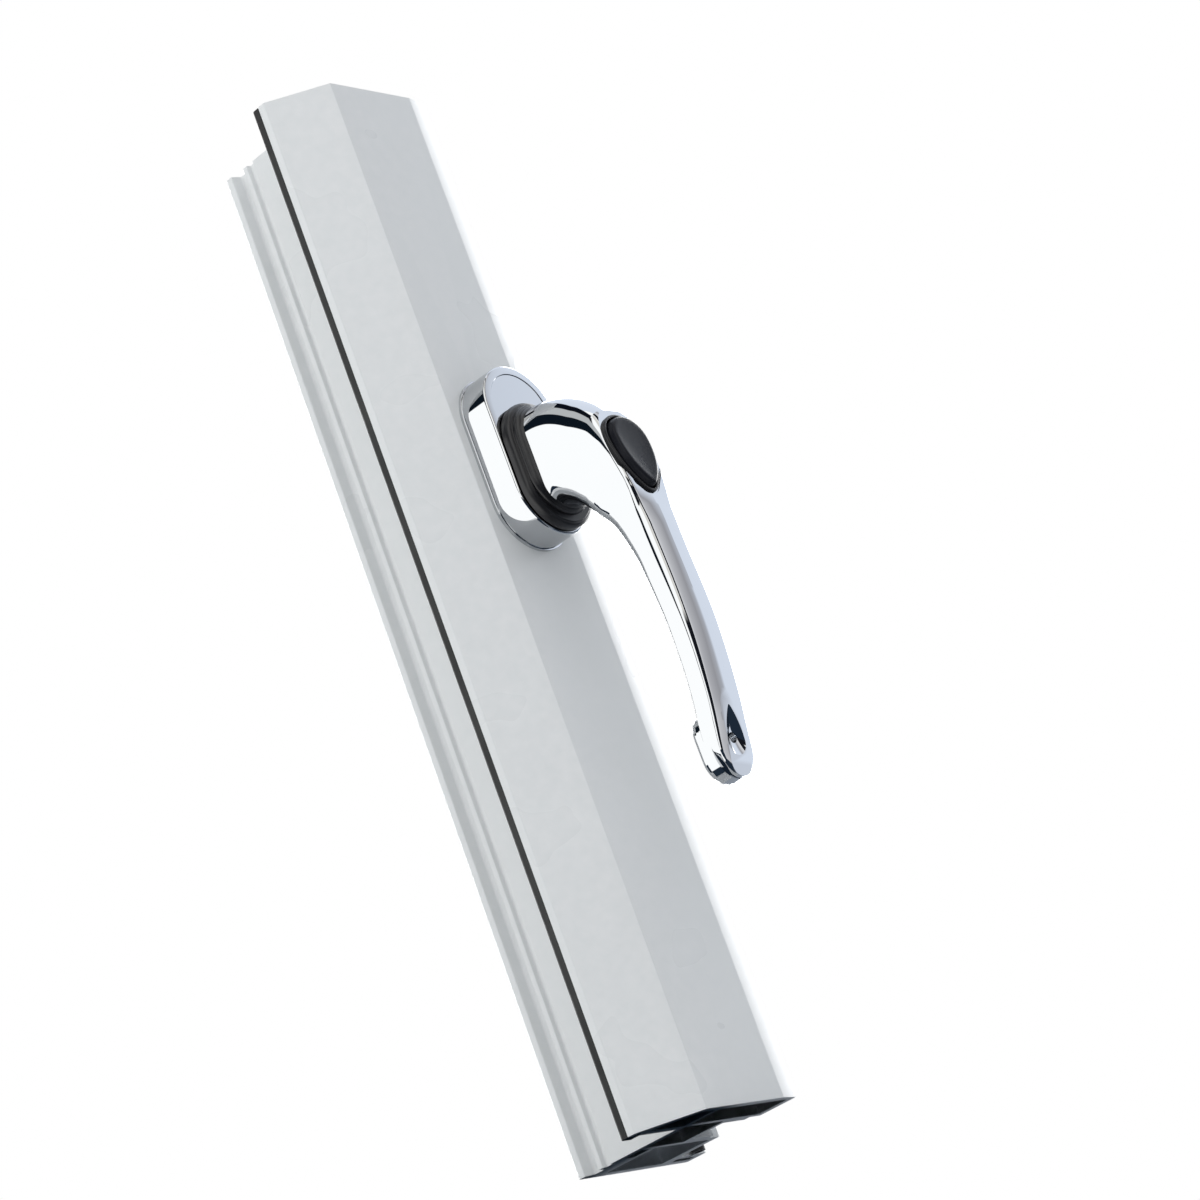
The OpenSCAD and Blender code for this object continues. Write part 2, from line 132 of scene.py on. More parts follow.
def arcPoints(x, y, radius, start, end, steps):
    angles = [math.radians(start + (end - start) * k / steps) for k in range(steps + 1)]
    return [(x + radius * math.cos(a), y + radius * math.sin(a)) for a in angles]


def eggOutline(top, topRadius, low, lowRadius, steps=28, bulge=None):
    # a round end at top, a smaller one at low, joined by tangents or by two arcs of the bulge's radius
    if bulge is None:
        lean = math.degrees(math.asin((topRadius - lowRadius) / (top - low)))
        return (arcPoints(0, top, topRadius, -lean, 180 + lean, steps)
                + arcPoints(0, low, lowRadius, 180 + lean, 360 - lean, steps))
    topReach, lowReach = bulge - topRadius, bulge - lowRadius
    y = (top + low) / 2 + (lowReach ** 2 - topReach ** 2) / (2 * (top - low))
    x = math.sqrt(topReach ** 2 - (top - y) ** 2)
    first = math.degrees(math.atan2(low - y, x))
    last = math.degrees(math.atan2(top - y, x))
    return (arcPoints(0, top, topRadius, last, 180 - last, steps)
            + arcPoints(x, y, bulge, 180 - last, 180 - first, steps)[1:-1]
            + arcPoints(0, low, lowRadius, 180 - first, 360 + first, steps)
            + arcPoints(-x, y, bulge, first, last, steps)[1:-1])


def eggRing(height, top, topRadius, low, lowRadius, steps=28, bulge=None):
    return [(x, y, height) for x, y in eggOutline(top, topRadius, low, lowRadius, steps, bulge)]


def bezier(a, b, c, d, steps):
    a, b, c, d = Vector(a), Vector(b), Vector(c), Vector(d)
    points = []
    for k in range(steps + 1):
        t = k / steps
        s = 1 - t
        points.append(s * s * s * a + 3 * s * s * t * b + 3 * s * t * t * c + t * t * t * d)
    return points


def ramp(value, stops):
    # straight-line reading between (position, level) stops
    if value <= stops[0][0]:
        return stops[0][1]
    for (p, level), (q, nextLevel) in zip(stops, stops[1:]):
        if value <= q:
            return level + (nextLevel - level) * (value - p) / (q - p)
    return stops[-1][1]


def rounded(places, steps=6):
    # places are (x, y, radius); each radius becomes an arc
    outline = []
    for i, (x, y, radius) in enumerate(places):
        here = Vector((x, y))
        if radius == 0:
            outline.append(here)
            continue
        before = (Vector(places[i - 1][:2]) - here).normalized()
        after = (Vector(places[(i + 1) % len(places)][:2]) - here).normalized()
        half = before.angle(after) / 2
        centre = here + (before + after).normalized() * radius / math.sin(half)
        start = here + before * radius / math.tan(half) - centre
        end = here + after * radius / math.tan(half) - centre
        first = math.atan2(start.y, start.x)
        turn = (math.atan2(end.y, end.x) - first + math.pi) % (2 * math.pi) - math.pi
        for k in range(steps + 1):
            angle = first + turn * k / steps
            outline.append(centre + radius * Vector((math.cos(angle), math.sin(angle))))
    return outline


def baked(piece):
    # the modifiers' result becomes the piece's own mesh
    graph = bpy.context.evaluated_depsgraph_get()
    mesh = bpy.data.meshes.new_from_object(piece.evaluated_get(graph))
    piece.modifiers.clear()
    piece.data = mesh
    mesh.name = piece.name
    return piece


def joinTools(piece, tools, operation, sharp):
    for tool in tools:
        change = piece.modifiers.new("tool", "BOOLEAN")
        change.operation = operation
        change.solver = "EXACT"
        change.object = tool
        baked(piece)
        bpy.data.objects.remove(tool)
    shade(piece, sharp)
    return piece


def cut(piece, *tools, sharp=25):
    return joinTools(piece, tools, "DIFFERENCE", sharp)


def weld(piece, *tools, sharp=25):
    return joinTools(piece, tools, "UNION", sharp)


def rod(radius, start, end, matrix, centre=(0, 0), steps=48):
    return turned("rod", [(radius, start), (radius, end)], matrix, steps, centre=centre)


def block(low, high, matrix=stileFrame):
    return loft("block", [[(x, y, z) for x, y in corners(low, high)] for z in (low[2], high[2])], matrix)


def finishPiece(piece, body, slot, *nodes):
    piece.data.materials.clear()
    piece.data.materials.append(materials[slot])
    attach(piece, body)
    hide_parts(*nodes)


def wire(tree, *links):
    # each link runs from a node's output to another node's input
    for source, output, target, entry in links:
        tree.links.new(source.outputs[output], target.inputs[entry])


def newTree(name, **inputs):
    tree = bpy.data.node_groups.new(name, "GeometryNodeTree")
    for label, kind in {"Geometry": "Geometry", **inputs}.items():
        tree.interface.new_socket(label, in_out="INPUT", socket_type="NodeSocket" + kind)
    tree.interface.new_socket("Geometry", in_out="OUTPUT", socket_type="NodeSocketGeometry")
    return tree, tree.nodes.new("NodeGroupInput"), tree.nodes.new("NodeGroupOutput")


def endTree(tree, last, output, start, end):
    real = tree.nodes.new("GeometryNodeRealizeInstances")
    finish = tree.nodes.new("GeometryNodeSetMaterial")
    wire(tree, (last, output, real, "Geometry"), (real, "Geometry", finish, "Geometry"),
         (start, "Finish", finish, "Material"), (finish, "Geometry", end, "Geometry"))


def extrusionTree():
    # closed edge loops are filled and drawn up along z
    tree, start, end = newTree("stileExtrusion", Length="Float", Finish="Material")
    loops = tree.nodes.new("GeometryNodeMeshToCurve")
    fill = tree.nodes.new("GeometryNodeFillCurve")
    draw = tree.nodes.new("GeometryNodeExtrudeMesh")
    flip = tree.nodes.new("GeometryNodeFlipFaces")
    join = tree.nodes.new("GeometryNodeJoinGeometry")
    merge = tree.nodes.new("GeometryNodeMergeByDistance")
    draw.inputs["Individual"].default_value = False
    draw.inputs["Offset"].default_value = (0, 0, 1)
    merge.inputs["Distance"].default_value = 1e-6
    wire(tree, (start, "Geometry", loops, "Mesh"), (loops, "Curve", fill, "Curve"),
         (fill, "Mesh", draw, "Mesh"), (start, "Length", draw, "Offset Scale"), (fill, "Mesh", flip, "Mesh"),
         (flip, "Mesh", join, "Geometry"), (draw, "Mesh", join, "Geometry"),
         (join, "Geometry", merge, "Geometry"))
    endTree(tree, merge, "Geometry", start, end)
    return tree


def repeatTree():
    # one part stands at every point
    tree, start, end = newTree("repeatedPart", Part="Object", Finish="Material")
    part = tree.nodes.new("GeometryNodeObjectInfo")
    stand = tree.nodes.new("GeometryNodeInstanceOnPoints")
    part.inputs["As Instance"].default_value = True
    wire(tree, (start, "Part", part, "Object"), (start, "Geometry", stand, "Points"),
         (part, "Geometry", stand, "Instance"))
    endTree(tree, stand, "Instances", start, end)
    return tree


def growPiece(piece, tree, values, sharp):
    grow = piece.modifiers.new(tree.name, "NODES")
    sockets = {item.name: item.identifier for item in tree.interface.items_tree if item.in_out == "INPUT"}
    grow.node_group = tree
    for label, value in values.items():
        grow[sockets[label]] = value
    baked(piece)
    shade(piece, sharp)
    return piece


extrude = extrusionTree()
repeat = repeatTree()


def extruded(name, loops, slot, sharp=14):
    # closed loops drawn over the stile's whole length
    points, edges = [], []
    for outline in loops:
        first = len(points)
        points += [stileFrame @ Vector((p[0], p[1], sashLow.z)) for p in outline]
        edges += [(first + k, first + (k + 1) % len(outline)) for k in range(len(outline))]
    mesh = bpy.data.meshes.new(name)
    mesh.from_pydata(points, edges, [])
    values = {"Length": (sashHigh.z - sashLow.z) * millimetre, "Finish": materials[slot]}
    return growPiece(linkPiece(name, mesh), extrude, values, sharp)


def repeated(name, part, places, slot, sharp=25):
    # part is modelled about the stile frame's origin, and a copy stands at each place
    part.data.transform(Matrix.Translation(-spindle))
    mesh = bpy.data.meshes.new(name)
    mesh.from_pydata([stileFrame @ Vector(place) for place in places], [], [])
    piece = growPiece(linkPiece(name, mesh), repeat, {"Part": part, "Finish": materials[slot]}, sharp)
    bpy.data.objects.remove(part)
    return piece


def shaderGroup(name, inputs, *outputs):
    # a tuple makes a vector input, a number a plain one
    group = bpy.data.node_groups.new(name, "ShaderNodeTree")
    for label, value in inputs.items():
        kind = "NodeSocketVector" if isinstance(value, tuple) else "NodeSocketFloat"
        group.interface.new_socket(label, in_out="INPUT", socket_type=kind).default_value = value
    for label in outputs:
        group.interface.new_socket(label, in_out="OUTPUT", socket_type="NodeSocketFloat")
    return group, group.nodes.new("NodeGroupInput"), group.nodes.new("NodeGroupOutput")


def mathNode(tree, operation, first, second=None, clamp=False):
    node = tree.nodes.new("ShaderNodeMath")
    node.operation = operation
    node.use_clamp = clamp
    for entry, value in enumerate((first, second)):
        if isinstance(value, (int, float)):
            node.inputs[entry].default_value = value
        elif value is not None:
            tree.links.new(value, node.inputs[entry])
    return node.outputs[0]


def mixColour(tree, share, first, second):
    # first and second are colours or sockets
    mix = tree.nodes.new("ShaderNodeMix")
    mix.data_type = "RGBA"
    tree.links.new(share, mix.inputs[0])
    for entry, value in ((6, first), (7, second)):
        if isinstance(value, tuple):
            mix.inputs[entry].default_value = value
        else:
            tree.links.new(value, mix.inputs[entry])
    return mix.outputs[2]


def mixShader(tree, share, first, second):
    mix = tree.nodes.new("ShaderNodeMixShader")
    for entry, socket in enumerate((share, first, second)):
        tree.links.new(socket, mix.inputs[entry])
    return mix.outputs[0]


def grainGroup():
    # fine grain drawn out along an axis, and slow patches
    sizes = {"Stretch": (1, 1, 1), "Fine Scale": 900, "Patch Scale": 25}
    group, start, end = shaderGroup("drawnGrain", sizes, "Grain", "Patches")
    place = group.nodes.new("ShaderNodeTexCoord")
    stretch = group.nodes.new("ShaderNodeVectorMath")
    stretch.operation = "MULTIPLY"
    fine = group.nodes.new("ShaderNodeTexNoise")
    fine.inputs["Detail"].default_value = 4
    patches = group.nodes.new("ShaderNodeTexNoise")
    patches.inputs["Detail"].default_value = 2
    wire(group, (place, "Object", stretch, 0), (start, "Stretch", stretch, 1), (stretch, 0, fine, "Vector"),
         (start, "Fine Scale", fine, "Scale"), (place, "Object", patches, "Vector"),
         (start, "Patch Scale", patches, "Scale"), (fine, "Fac", end, "Grain"),
         (patches, "Fac", end, "Patches"))
    return group


def spreadGroup():
    # a level that wanders between two ends with a mask
    group, start, end = shaderGroup("spread", {"Mask": 0.5, "Low": 0, "High": 1}, "Level")
    reach = group.nodes.new("ShaderNodeMapRange")
    reach.inputs["From Min"].default_value = 0.3
    reach.inputs["From Max"].default_value = 0.7
    wire(group, (start, "Mask", reach, "Value"), (start, "Low", reach, "To Min"),
         (start, "High", reach, "To Max"), (reach, "Result", end, "Level"))
    return group


def paintedHighlightGroup():
    # a mask of the convex edges, broken up by noise, where a lighter colour is painted on as an edge highlight
    group, start, end = shaderGroup("edgeWear", {"Reach": 0.55, "Break Up": 300}, "Wear")
    calc = partial(mathNode, group)
    surface = group.nodes.new("ShaderNodeNewGeometry")
    place = group.nodes.new("ShaderNodeTexCoord")
    noise = group.nodes.new("ShaderNodeTexNoise")
    wire(group, (place, "Object", noise, "Vector"), (start, "Break Up", noise, "Scale"))
    edge = calc("SUBTRACT", surface.outputs["Pointiness"], start.outputs["Reach"])
    edge = calc("MULTIPLY", edge, 20, clamp=True)
    group.links.new(calc("MULTIPLY", edge, noise.outputs["Fac"]), end.inputs["Wear"])
    return group


grain = grainGroup()
spread = spreadGroup()
paintedHighlight = paintedHighlightGroup()


def placeGroup(tree, group, values):
    node = tree.nodes.new("ShaderNodeGroup")
    node.node_tree = group
    for label, value in values.items():
        node.inputs[label].default_value = value
    return node


def finish(name, look):
    material = bpy.data.materials.new(name)
    material.use_nodes = True
    tree = material.node_tree
    shader = tree.nodes["Principled BSDF"]
    shader.inputs["Metallic"].default_value = look.get("metallic", 0)
    shader.inputs["IOR"].default_value = look.get("ior", 1.45)
    drawn = placeGroup(tree, grain, {"Stretch": look.get("stretch", (1, 1, 1)),
                                     "Fine Scale": look["fineScale"], "Patch Scale": look["patchScale"]})
    roughness = placeGroup(tree, spread, {"Low": look["roughness"][0], "High": look["roughness"][1]})
    highlighted = placeGroup(tree, paintedHighlight, {"Reach": look.get("highlightReach", 0.56)})
    colour = mixColour(tree, drawn.outputs["Patches"], (*look["colour"], 1), (*look["patchColour"], 1))
    # convex edges take the lighter edgeColour: a painted edge highlight
    colour = mixColour(tree, highlighted.outputs["Wear"], colour, (*look["edgeColour"], 1))
    tree.links.new(colour, shader.inputs["Base Color"])
    bump = tree.nodes.new("ShaderNodeBump")
    bump.inputs["Strength"].default_value = look["bump"]
    bump.inputs["Distance"].default_value = look["bumpDepth"] * millimetre
    wire(tree, (drawn, "Patches", roughness, "Mask"), (roughness, "Level", shader, "Roughness"),
         (drawn, "Grain", bump, "Height"), (bump, "Normal", shader, "Normal"))
    return material


# edgeColour in each look is the painted highlight laid on the convex edges
looks = {
    "white_pvc": {"colour": (0.80, 0.82, 0.82), "patchColour": (0.82, 0.835, 0.835),
                  "edgeColour": (0.9, 0.9, 0.9), "roughness": (0.26, 0.32), "stretch": (1, 1, 0.03),
                  "fineScale": 2500, "patchScale": 30, "bump": 0.06, "bumpDepth": 0.05, "ior": 1.5},
    "polished_chrome": {"colour": (0.55, 0.565, 0.585), "patchColour": (0.565, 0.575, 0.59),
                        "edgeColour": (0.75, 0.76, 0.77), "roughness": (0.015, 0.04), "metallic": 1,
                        "fineScale": 90, "patchScale": 60, "bump": 0.015, "bumpDepth": 0.05,
                        "highlightReach": 0.8},
    "black_plastic": {"colour": (0.010, 0.010, 0.012), "patchColour": (0.014, 0.014, 0.016),
                      "edgeColour": (0.03, 0.03, 0.035), "roughness": (0.30, 0.42), "fineScale": 4000,
                      "patchScale": 80, "bump": 0.12, "bumpDepth": 0.03},
    "gloss_button": {"colour": (0.012, 0.013, 0.017), "patchColour": (0.016, 0.017, 0.022),
                     "edgeColour": (0.05, 0.05, 0.055), "roughness": (0.26, 0.32), "fineScale": 3000,
                     "patchScale": 90, "bump": 0.04, "bumpDepth": 0.02, "ior": 1.22},
    "black_rubber": {"colour": (0.012, 0.012, 0.013), "patchColour": (0.020, 0.020, 0.021),
                     "edgeColour": (0.03, 0.03, 0.03), "roughness": (0.5, 0.68), "stretch": (1, 1, 0.05),
                     "fineScale": 3000, "patchScale": 60, "bump": 0.15, "bumpDepth": 0.04},
    "zinc_steel": {"colour": (0.60, 0.62, 0.66), "patchColour": (0.66, 0.66, 0.64),
                   "edgeColour": (0.78, 0.78, 0.78), "roughness": (0.24, 0.38), "metallic": 1,
                   "stretch": (1, 1, 0.04), "fineScale": 1800, "patchScale": 70, "bump": 0.1,
                   "bumpDepth": 0.04},
    "bright_steel": {"colour": (0.50, 0.51, 0.54), "patchColour": (0.56, 0.57, 0.59),
                     "edgeColour": (0.72, 0.72, 0.73), "roughness": (0.2, 0.32), "metallic": 1,
                     "stretch": (1, 0.08, 1), "fineScale": 1600, "patchScale": 90, "bump": 0.08,
                     "bumpDepth": 0.03},
    "galvanised_steel": {"colour": (0.50, 0.53, 0.56), "patchColour": (0.68, 0.70, 0.72),
                         "edgeColour": (0.75, 0.75, 0.76), "roughness": (0.35, 0.55), "metallic": 0.9,
                         "fineScale": 500, "patchScale": 180, "bump": 0.1, "bumpDepth": 0.05},
    "nylon": {"colour": (0.72, 0.70, 0.62), "patchColour": (0.76, 0.74, 0.66),
              "edgeColour": (0.82, 0.8, 0.73), "roughness": (0.4, 0.5), "fineScale": 1500,
              "patchScale": 90, "bump": 0.06, "bumpDepth": 0.03},
}
materials = {slotName: finish(slotName, look) for slotName, look in looks.items()}
print("finishes made:", len(materials))

# CAD nodes that stay take the finish of their own slot
for part in frame["record"]["subparts"]:
    node = frame["nodes"][part["node"]]
    node.data.materials.clear()
    node.data.materials.append(materials[part["material_slot"]])


sash = {
    "faceGlassSide": 18.5,  # flat of the room face, from the spindle to the bevel
    "faceLockSide": 16.2,
    "bevelLeg": 14.9,
    "lipDepth": 2.8,
    "rebateWidth": 20.7,
    "edgeRadius": 0.7,
    "lipRadius": 0.9,
    "wall": 2.8,
    "web": 1.8,
    "grooveMiddle": 24,
    "recessHalf": 8.1,
    "channelHalf": 6.15,
    "channelFloor": 9,
    "recessFloor": 19,
    "flangeWidth": 12,
    "flangeDepth": 8,
    "pocketHalf": 30.4,  # half height of the pocket for the lock case
    "pocketLeft": -10.5,
    "pocketRight": 9.5,
    "spindleHole": 6.5,
    "fixingHole": 4.2,
    "reinforcementHole": 1.75,
    "faceplateHole": 1.6,
    "reinforcementX": 6,
    "sealGroove": 1.4,  # width of the grooves that hold the two seals
}
lipY = sash["bevelLeg"] + sash["lipDepth"]
floorX = tipX + sash["rebateWidth"]
edgeX = flangeX - sash["flangeWidth"]
flangeY = sashDepth - sash["flangeDepth"]
reinforcementHeights = [sashHigh.z - 35, -70, sashLow.z + 30]
faceplateHeights = [sashHigh.z - 15, -55, sashLow.z + 20]


def sashOutline():
    middle, recess, channel = sash["grooveMiddle"], sash["recessHalf"], sash["channelHalf"]
    soft, small = sash["edgeRadius"], 0.3
    return rounded([
        (edgeX, flangeY, small), (flangeX, flangeY, soft),
        (flangeX, sashDepth, soft), (floorX - 0.6, sashDepth, soft),
        # bead groove, ridge, narrow groove and the rebate's floor
        (floorX - 0.6, sashDepth - 2.6, 0.5), (floorX + 3, sashDepth - 3.6, 0.8),
        (floorX + 3, sashDepth - 7, 0.8), (floorX, sashDepth - 7.6, 0.4), (floorX, sashDepth - 9.4, 0.4),
        (floorX + 1.4, sashDepth - 9.8, 0.5), (floorX + 1.4, sashDepth - 11.8, 0.5),
        (floorX, sashDepth - 12.2, 0.4), (floorX, lipY, small),
        (tipX, lipY, 0.4), (tipX, sash["bevelLeg"], sash["lipRadius"]),
        (-sash["faceGlassSide"], 0, soft), (sash["faceLockSide"], 0, soft), (edgeX, 1.6, soft),
        (edgeX, middle - recess, small), (sash["recessFloor"], middle - recess, 0.2),
        (sash["recessFloor"], middle - channel, 0.2), (sash["channelFloor"], middle - channel, small),
        (sash["channelFloor"], middle + channel, small), (sash["recessFloor"], middle + channel, 0.2),
        (sash["recessFloor"], middle + recess, 0.2), (edgeX, middle + recess, small)])


def chamber(low, high, radius=0.6):
    return rounded([(x, y, radius) for x, y in corners(low, high)])


def sashChambers():
    wall, web, middle, recess = sash["wall"], sash["web"], sash["grooveMiddle"], sash["recessHalf"]
    left, right = floorX + wall, edgeX - wall
    behind = middle + recess + web
    return [
        chamber((left, wall), (right, middle - recess - web)),
        chamber((left, middle - recess), (sash["channelFloor"] - web, middle + recess)),
        chamber((left + 6, behind), (right, sashDepth - wall)),
        chamber((left, behind), (left + 6 - web, behind + 6.5)),
        rounded([(floorX + 1, wall, 0.5), (1.2 - sash["faceGlassSide"], wall, 0.5),
                 (tipX + 6.9, lipY - wall - 2, 0.5), (tipX + 6.9, lipY - wall, 0.5),
                 (floorX + 1, lipY - wall, 0.5)]),
        chamber((edgeX + 1.5, flangeY + wall), (edgeX + 9.5, flangeY + wall + 2.4), 0.4),
    ]


def buildSash():
    body = extruded("sash_extrusion", [sashOutline(), *sashChambers()], "white_pvc")
    middle, channel = sash["grooveMiddle"], sash["channelHalf"]
    tools = [block((sash["pocketLeft"], middle - channel, -sash["pocketHalf"]),
                   (sash["pocketRight"], middle + channel, sash["pocketHalf"])),
             rod(sash["spindleHole"], -1, middle, backFrame)]
    for side in (-1, 1):
        tools.append(rod(sash["fixingHole"], -1, middle, backFrame, (0, side * screwOffset)))
    for z in reinforcementHeights:
        tools.append(rod(sash["reinforcementHole"], sashDepth - 8, sashDepth + 1, backFrame,
                         (sash["reinforcementX"], -z)))
    for z in faceplateHeights:
        tools.append(rod(sash["faceplateHole"], 10, sash["recessFloor"] + 3, lockFrame, (-z, middle)))
    for x, y in ((tipX + 2.6, lipY - 2), (edgeX + 5.3, flangeY - 1)):
        tools.append(block((x, y, sashLow.z - 1), (x + sash["sealGroove"], y + 3, sashHigh.z + 1)))
    cut(body, *tools, sharp=14)
    finishPiece(body, "sash", "white_pvc", "sash_profile")


buildSash()

seals = {
    "bulbRadius": 2.1,
    "bulbBore": 1.3,
    "stripDepth": 3.2,
    "noseRadius": 1.6,  # round edge of the strip on the glass side
    "stripLeft": 0.15,  # from the lip's edge to the strip
    "lift": 0.02,  # the strip stands this clear of the lip
}


def buildSeals():
    left, foot, nose = tipX + seals["stripLeft"], lipY + seals["lift"], seals["noseRadius"]
    strip = [(tipX + 5, foot), (tipX + 5, lipY + seals["stripDepth"])]
    strip += arcPoints(left + nose, lipY + nose, nose, 90, 180, 8)
    strip += [(left, foot), (tipX + 2.7, foot), (tipX + 2.7, lipY - 1.1),
              (tipX + 2.72, lipY - 1.7), (tipX + 3.88, lipY - 1.7), (tipX + 3.9, foot)]
    gasket = extruded("glazing_gasket_strip", [strip], "black_rubber", 30)
    finishPiece(gasket, "sash", "black_rubber", "glazing_gasket")
    middle = (edgeX + 6, flangeY - seals["bulbRadius"])
    bulb = arcPoints(*middle, seals["bulbRadius"], 106, 434, 40)
    bulb += [(edgeX + 6.6, flangeY + 1.6), (edgeX + 5.4, flangeY + 1.6)]
    bore = arcPoints(*middle, seals["bulbBore"], 0, 350, 35)
    seal = extruded("weather_seal_bulb", [bulb, bore], "black_rubber", 30)
    finishPiece(seal, "sash", "black_rubber", "weather_seal")


buildSeals()
print("sash and seals built")


base = {
    "halfWidth": 15,
    "arc": 13,  # the round ends' centres, above and below the spindle
    "height": 10.4,
    "footFlare": 0.4,
    "rimRadius": 0.7,
    "coverInset": 3,
    "coverDrop": 0.22,  # how far the cover lies below the rim
    "coverFoot": 1.45,  # depth of the cover's lower face
    "bore": 9.6,
    "wall": 2.2,
    "hollowTop": 7,
    "bushPost": 12.5,  # radius of the solid round the bush
    "screwPost": 5,
    "bushSeat": 11.2,
    "bushSeatTop": 3.2,
}


def obroundRing(inset, height, steps=40):
    radius = base["halfWidth"] - inset
    return eggRing(height, base["arc"], radius, -base["arc"], radius, steps)


def buildBase():
    height, rim, flare = base["height"], base["rimRadius"], base["footFlare"]
    profile = [(-flare, 0), (-flare, 0.9)]
    profile += [(x, y) for x, y in arcPoints(0.1 - flare, 0.9, 0.1, 180, 90, 3)][1:]
    profile += [(0, 1.02), (0.02, 2)]
    profile += [(0.12 + rim - rim * math.cos(math.radians(a)), height - rim + rim * math.sin(math.radians(a)))
                for a in range(0, 91, 9)]
    profile += [(base["coverInset"] - 0.12, height), (base["coverInset"] - 0.02, height - 0.1),
                (base["coverInset"] - 0.02, height - 1.5)]
    body = loft("base_shell", [obroundRing(inset, y) for inset, y in profile], outFrame, sharp=16)
    ceiling = base["hollowTop"]
    hollow = loft("hollow", [obroundRing(base["wall"], y) for y in (-1, ceiling)], outFrame)
    posts = [rod(base["bushPost"], -2, ceiling + 1, outFrame)]
    posts += [rod(base["screwPost"], -2, ceiling + 1, outFrame, (0, side * screwOffset)) for side in (-1, 1)]
    cut(hollow, *posts)
    tools = [hollow, rod(base["bore"], -1, height + 1.6, outFrame),
             rod(base["bushSeat"], -0.01, base["bushSeatTop"], outFrame)]
    for side in (-1, 1):
        centre = (0, side * screwOffset)
        seat = [(2.7, -1), (2.7, height - 3.9), (4.5, height - 1.7), (4.5, height - 1.4)]
        tools.append(turned("seat", seat, outFrame, 48, centre=centre))
    cut(body, *tools, sharp=16)
    finishPiece(body, "sash", "polished_chrome", "base_body")

    top = height - base["coverDrop"]
    low = height - base["coverFoot"]
    edge = base["coverInset"] + 0.03
    plate = loft("screw_cover_plate", [obroundRing(edge, low), obroundRing(edge, top - 0.08),
                                       obroundRing(edge + 0.08, top)], outFrame, sharp=16)
    cut(plate, rod(base["bore"], low - 1, top + 1, outFrame, steps=96), sharp=16)
    finishPiece(plate, "sash", "polished_chrome", "screw_cover")


buildBase()

collar = {
    "foot": 10.7,  # height of the flange's foot over the room face
    "flangeRadius": 14.2,
    "flangeTail": 13,
    "ringTail": 11,
    "ringRadius": 12.5,
    "step": 13.9,  # where the lower collar ends and the upper one starts
    "top": 16.55,
    "bore": 8.02,
    "plungerBore": 2.3,
    "latchHalf": 5,  # half width of the latch's seat in the foot
    "latchDepth": 1.8,
}


def collarBores():
    return rod(collar["bore"], 5, 20, outFrame), rod(collar["plungerBore"], 5, 20, outFrame, (0, buttonZ))


def buildCollar():
    foot, radius, step, top = collar["foot"], collar["flangeRadius"], collar["step"], collar["top"]
    profile = [(radius - 0.3, foot), (radius, foot + 0.25), (radius, foot + 1.1)]
    profile += [(radius - 1.5 + 1.5 * math.cos(math.radians(a)), foot + 1.1 + 1.9 * math.sin(math.radians(a)))
                for a in range(10, 71, 10)]
    profile += [(radius - 1.25, step - 0.25), (radius - 1.45, step - 0.2), (radius - 1.65, step - 0.01)]
    rings = [eggRing(height, 0, r, -collar["flangeTail"], r) for r, height in profile]
    flange = loft("collar_lower", rings, outFrame, sharp=30)
    half = collar["latchHalf"]
    seat = block((-half, buttonZ - half, foot - 1),
                 (half, buttonZ + half, foot + collar["latchDepth"]), outFrame)
    cut(flange, *collarBores(), seat, sharp=30)
    finishPiece(flange, "handle", "black_plastic", "collar_flange")

    radius = collar["ringRadius"]
    profile = [(radius - 0.1, step), (radius, step + 0.1), (radius, step + 0.5), (radius - 0.1, step + 0.8),
               (radius - 0.35, step + 1.1), (radius - 0.5, step + 1.15), (radius - 0.62, step + 1.3),
               (radius - 1, step + 1.7), (radius - 1.15, step + 1.78), (radius - 1.25, step + 1.95),
               (radius - 1.78, top - 0.05), (radius - 1.86, top)]
    rings = [eggRing(height, 0, r, -collar["ringTail"], r) for r, height in profile]
    ring = loft("collar_upper", rings, outFrame, sharp=30)
    cut(ring, *collarBores(), sharp=30)
    finishPiece(ring, "handle", "black_plastic", "collar_ring")


buildCollar()
print("base and collar built")


lever = {
    "root": 16.6,  # height of the neck's foot over the room face
    "end": -118.4,
    "endCorner": 7.35,  # height over which the end rounds in
    "roofTilt": 6.5,  # tilt of the two front facets, in degrees
    "roofCrown": 0.08,
    "bezelTop": 40,  # height and z of the bezel's upper edge
    "bezelTopZ": -3.5,
    "bezelTilt": 7,
    "stubRadius": 8,  # stub through both collars into the base
    "stubStart": 2.45,
    "springRadius": 4,
    "springDepth": 12,
    "plungerBore": 2.1,
    "socketHalf": 3.52,  # half width of the spindle's square socket
    "socketDepth": 26,
    "grubBore": 2.02,
    "grubHeight": 20,
    "endLean": 10.2,  # lean of the pad and the dish, in degrees
    "pad": (0, -42.3, -96),
    "dish": (0, -40.55, -105.9),
    "dishDepth": 1.35,
    "holeZ": -107,
    "holeRadius": 1.6,
    "bossRadius": 7.42,
    "bossTop": -104.3,
    "bossLow": -110.95,
    "bossBack": 30.9,
}
